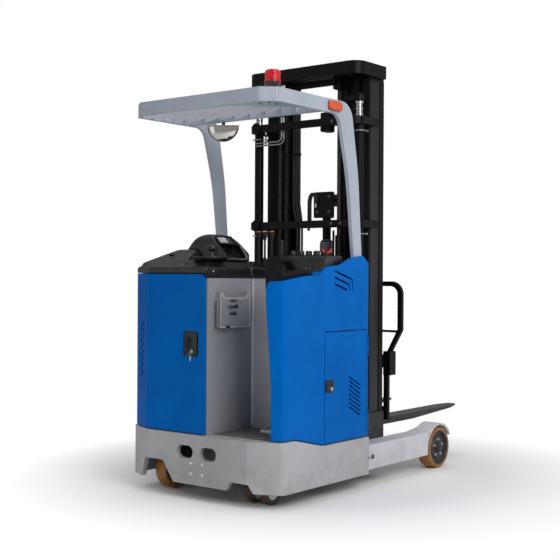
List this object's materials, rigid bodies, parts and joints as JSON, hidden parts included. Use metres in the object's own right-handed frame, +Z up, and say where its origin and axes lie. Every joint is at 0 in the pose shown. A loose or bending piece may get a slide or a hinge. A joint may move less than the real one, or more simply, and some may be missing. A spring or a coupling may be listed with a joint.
{
  "type": "stand-on electric reach truck",
  "caption": "Stand-on reach truck with straddle legs, a lifting and reaching mast, tilting forks, an overhead guard, opening covers and a steered drive wheel.",
  "frame": {"origin": "on the ground under the middle of the bounding box, midway between the chassis's rear face and the fork tips", "axes": "+X to the driver's right when facing the forks, +Y forwards towards the fork tips, +Z up"},
  "size_m": [1.09, 2.37, 2.49],
  "materials": {
    "chassis_paint": "satin",
    "blue_paint": "satin",
    "guard_paint": "satin",
    "liner_paint": "satin",
    "mast_paint": "satin",
    "carriage_paint": "satin",
    "fork_steel": "satin",
    "cover_plastic": "matte",
    "control_plastic": "matte",
    "pad_skin": "matte",
    "mat_rubber": "matte",
    "tyre": "satin",
    "hub_metal": "satin",
    "chrome": "polished",
    "chain_steel": "oiled",
    "battery_case": "satin",
    "screen": "gloss",
    "beacon_red": "gloss",
    "beacon_base": "gloss",
    "lamp_orange": "gloss",
    "mirror_face": "polished",
    "stop_red": "gloss",
    "latch_black": "satin",
    "drive_metal": "satin"
  },
  "bodies": {
    "chassis": {"chassis": "chassis_paint", "leg_right": "chassis_paint", "leg_left": "chassis_paint", "battery": "battery_case", "cover_left": "blue_paint", "cover_right": "blue_paint", "front_panel": "liner_paint", "recess_side": "liner_paint", "recess_front": "liner_paint", "floor_plate": "liner_paint", "floor_mat": "mat_rubber", "document_pocket": "liner_paint", "pedal": "liner_paint", "top_cover": "cover_plastic", "dash": "cover_plastic", "display": "screen", "levers": "control_plastic", "lever_knobs": "control_plastic", "switch_panel": "cover_plastic", "switch_knobs": "control_plastic", "stop_button": "stop_red", "backrest_pad": "pad_skin", "guard_frame": "guard_paint", "guard_slats": "guard_paint", "beacon_base": "beacon_base", "beacon_dome": "beacon_red", "marker_lamps": "lamp_orange", "mirror_shell": "control_plastic", "mirror_glass": "mirror_face", "reach_cylinder": "mast_paint"},
    "rear_door": {"rear_door": "blue_paint", "rear_latch": "latch_black"},
    "side_door": {"side_door": "blue_paint", "side_latch": "latch_black"},
    "steering_disc": {"steering_disc": "control_plastic"},
    "drive_unit": {"drive_unit": "drive_metal"},
    "drive_wheel": {"drive_hub": "hub_metal", "drive_tyre": "tyre"},
    "caster_swivel": {"caster_fork": "drive_metal"},
    "caster_wheels": {"caster_wheels": "tyre"},
    "load_wheel_right": {"load_hub_right": "hub_metal", "load_tyre_right": "tyre"},
    "load_wheel_left": {"load_hub_left": "hub_metal", "load_tyre_left": "tyre"},
    "reach_body": {"outer_mast": "mast_paint", "reach_carriage": "carriage_paint", "lift_cylinders": "mast_paint", "mast_pipes": "chrome", "reach_rod": "chrome"},
    "middle_mast": {"middle_mast": "mast_paint", "lift_rods": "chrome", "mast_chains": "chain_steel"},
    "inner_mast": {"inner_mast": "mast_paint", "free_cylinder": "mast_paint"},
    "lift_head": {"lift_head": "mast_paint", "carriage_chains": "chain_steel"},
    "fork_carriage": {"fork_carriage": "carriage_paint"},
    "fork_frame": {"fork_carrier": "mast_paint", "backrest": "mast_paint", "forks": "fork_steel"}
  },
  "joints": [
    {"name": "reach", "type": "slide", "parent": "chassis", "child": "reach_body", "axis": [0, 1, 0], "range_m": [0, 0.5]},
    {"name": "mast_lift", "type": "slide", "parent": "reach_body", "child": "middle_mast", "axis": [0, 0, 1], "range_m": [0, 1.5]},
    {"name": "inner_lift", "type": "slide", "parent": "middle_mast", "child": "inner_mast", "axis": [0, 0, 1], "range_m": [0, 1.5], "deforming": ["mast_chains"]},
    {"name": "free_lift", "type": "slide", "parent": "inner_mast", "child": "lift_head", "axis": [0, 0, 1], "range_m": [-0.12, 0.62]},
    {"name": "carriage_lift", "type": "slide", "parent": "lift_head", "child": "fork_carriage", "axis": [0, 0, 1], "range_m": [-0.12, 0.62], "deforming": ["carriage_chains"]},
    {"name": "fork_tilt", "type": "hinge", "parent": "fork_carriage", "child": "fork_frame", "pos_m": [0, 0.103, 0.7], "axis": [1, 0, 0], "range_deg": [-2, 5]},
    {"name": "drive_steer", "type": "hinge", "parent": "chassis", "child": "drive_unit", "pos_m": [-0.355, -0.97, 0], "axis": [0, 0, 1], "range_deg": [-90, 90]},
    {"name": "drive_spin", "type": "hinge", "parent": "drive_unit", "child": "drive_wheel", "pos_m": [-0.355, -0.97, 0.12], "axis": [1, 0, 0], "continuous": true},
    {"name": "caster_turn", "type": "hinge", "parent": "chassis", "child": "caster_swivel", "pos_m": [0.327, -0.97, 0], "axis": [0, 0, 1], "continuous": true},
    {"name": "caster_spin", "type": "hinge", "parent": "caster_swivel", "child": "caster_wheels", "pos_m": [0.327, -1, 0.07], "axis": [1, 0, 0], "continuous": true},
    {"name": "load_spin_right", "type": "hinge", "parent": "chassis", "child": "load_wheel_right", "pos_m": [0.472, 0.555, 0.13], "axis": [1, 0, 0], "continuous": true},
    {"name": "load_spin_left", "type": "hinge", "parent": "chassis", "child": "load_wheel_left", "pos_m": [-0.472, 0.555, 0.13], "axis": [1, 0, 0], "continuous": true},
    {"name": "rear_door_hinge", "type": "hinge", "parent": "chassis", "child": "rear_door", "pos_m": [-0.3705, -1.177, 0.8], "axis": [0, 0, -1], "range_deg": [0, 110]},
    {"name": "side_door_hinge", "type": "hinge", "parent": "chassis", "child": "side_door", "pos_m": [0.537, -0.314, 0.6], "axis": [0, 0, 1], "range_deg": [0, 100]},
    {"name": "steering", "type": "hinge", "parent": "chassis", "child": "steering_disc", "pos_m": [-0.03, -1.035, 1.318], "axis": [0, 0, 1], "continuous": true}
  ],
  "couplings": [
    {"joint": "inner_lift", "follows": "mast_lift", "ratio": 1},
    {"joint": "carriage_lift", "follows": "free_lift", "ratio": 1}
  ]
}
